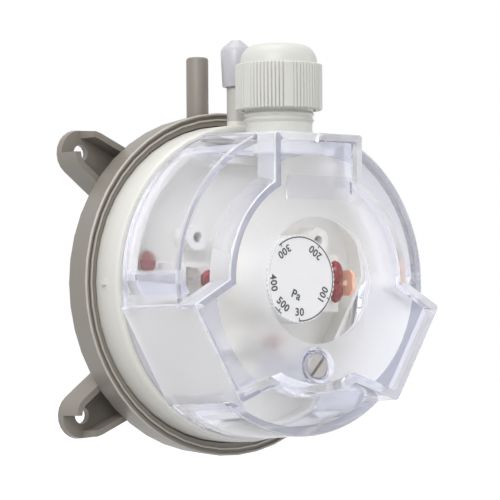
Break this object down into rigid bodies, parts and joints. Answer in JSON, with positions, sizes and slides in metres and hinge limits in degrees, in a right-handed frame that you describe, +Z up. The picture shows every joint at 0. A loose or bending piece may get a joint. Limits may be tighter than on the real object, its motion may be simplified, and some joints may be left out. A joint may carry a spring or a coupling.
{
  "type": "differential pressure switch",
  "caption": "Round differential pressure switch with a grey base, an off-white upper housing, a clear cover over a setting knob, two hose ports and a cable gland.",
  "frame": {"origin": "centre of the base's back face, on the wall plane", "axes": "+Y into the wall, -Y towards the front of the cover, +Z up along the ports and the cable gland, +X to the right seen from the front"},
  "size_m": [0.0856, 0.0534, 0.1034],
  "materials": {
    "grey_plastic": "satin moulded",
    "off_white_plastic": "satin moulded",
    "white_plastic": "satin moulded",
    "clear_plastic": "clear moulded, partly frosted",
    "milky_plastic": "soft translucent",
    "grey_rubber": "matt",
    "silicone": "matt",
    "copper": "bright copper",
    "brass": "bright",
    "zinc_steel": "zinc plated",
    "red_lacquer": "glossy drop"
  },
  "bodies": {
    "base": {"base_housing": "grey_plastic", "diaphragm": "silicone", "middle_housing": "off_white_plastic", "cover_gasket": "milky_plastic", "range_spring": "zinc_steel", "switch_carrier": "off_white_plastic", "fixed_contact_back": "brass", "fixed_contact_front": "brass", "terminal_common": "copper", "terminal_left": "brass", "terminal_lower": "brass", "calibration_screw_right": "brass", "calibration_screw_left": "brass", "calibration_screw_side": "brass", "lacquer_right": "red_lacquer", "lacquer_left": "red_lacquer", "lacquer_side": "red_lacquer", "lacquer_lower": "red_lacquer"},
    "plunger": {"diaphragm_plate": "white_plastic", "spring_seat": "white_plastic"},
    "contact": {"contact_spring": "copper"},
    "knob": {"setting_knob": "white_plastic"},
    "adjuster": {"adjuster_nut": "brass"},
    "lid": {"cover": "clear_plastic", "gland_body": "off_white_plastic", "gland_seal": "grey_rubber", "screw_seal": "grey_rubber"},
    "lid_screw": {"cover_screw": "zinc_steel"},
    "nut": {"gland_nut": "off_white_plastic"},
    "cap": {"port_cap": "milky_plastic"}
  },
  "joints": [
    {"name": "diaphragm_stroke", "type": "slide", "parent": "base", "child": "plunger", "axis": [0, -1, 0], "range_m": [0, 0.001], "stiffness_N_per_m": 400, "deforming": ["range_spring"]},
    {"name": "contact_bend", "type": "hinge", "parent": "base", "child": "contact", "pos_m": [0.0188, -0.0296, 0], "axis": [0, 0, 1], "range_deg": [0, 4.7]},
    {"name": "knob_turn", "type": "hinge", "parent": "base", "child": "knob", "pos_m": [0, -0.0453, 0.0005], "axis": [0, -1, 0], "range_deg": [-140, 181]},
    {"name": "adjuster_slide", "type": "slide", "parent": "base", "child": "adjuster", "axis": [0, -1, 0], "range_m": [-0.0018, 0.0023], "deforming": ["range_spring"]},
    {"name": "cover_lift", "type": "slide", "parent": "base", "child": "lid", "axis": [0, -1, 0], "range_m": [0, 0.045]},
    {"name": "cover_screw_turn", "type": "hinge", "parent": "lid", "child": "lid_screw", "pos_m": [0, -0.0524, -0.0206], "axis": [0, -1, 0], "range_deg": [0, 720]},
    {"name": "gland_nut_turn", "type": "hinge", "parent": "lid", "child": "nut", "pos_m": [0, -0.0377, 0.0425], "axis": [0, 0, 1], "range_deg": [0, 720]},
    {"name": "port_cap_pull", "type": "slide", "parent": "base", "child": "cap", "axis": [0, 0, 1], "range_m": [0, 0.012]}
  ],
  "couplings": [
    {"joint": "contact_bend", "follows": "diaphragm_stroke", "rad_per_m": 81.3},
    {"joint": "adjuster_slide", "follows": "knob_turn", "m_per_rad": 0.000714}
  ]
}
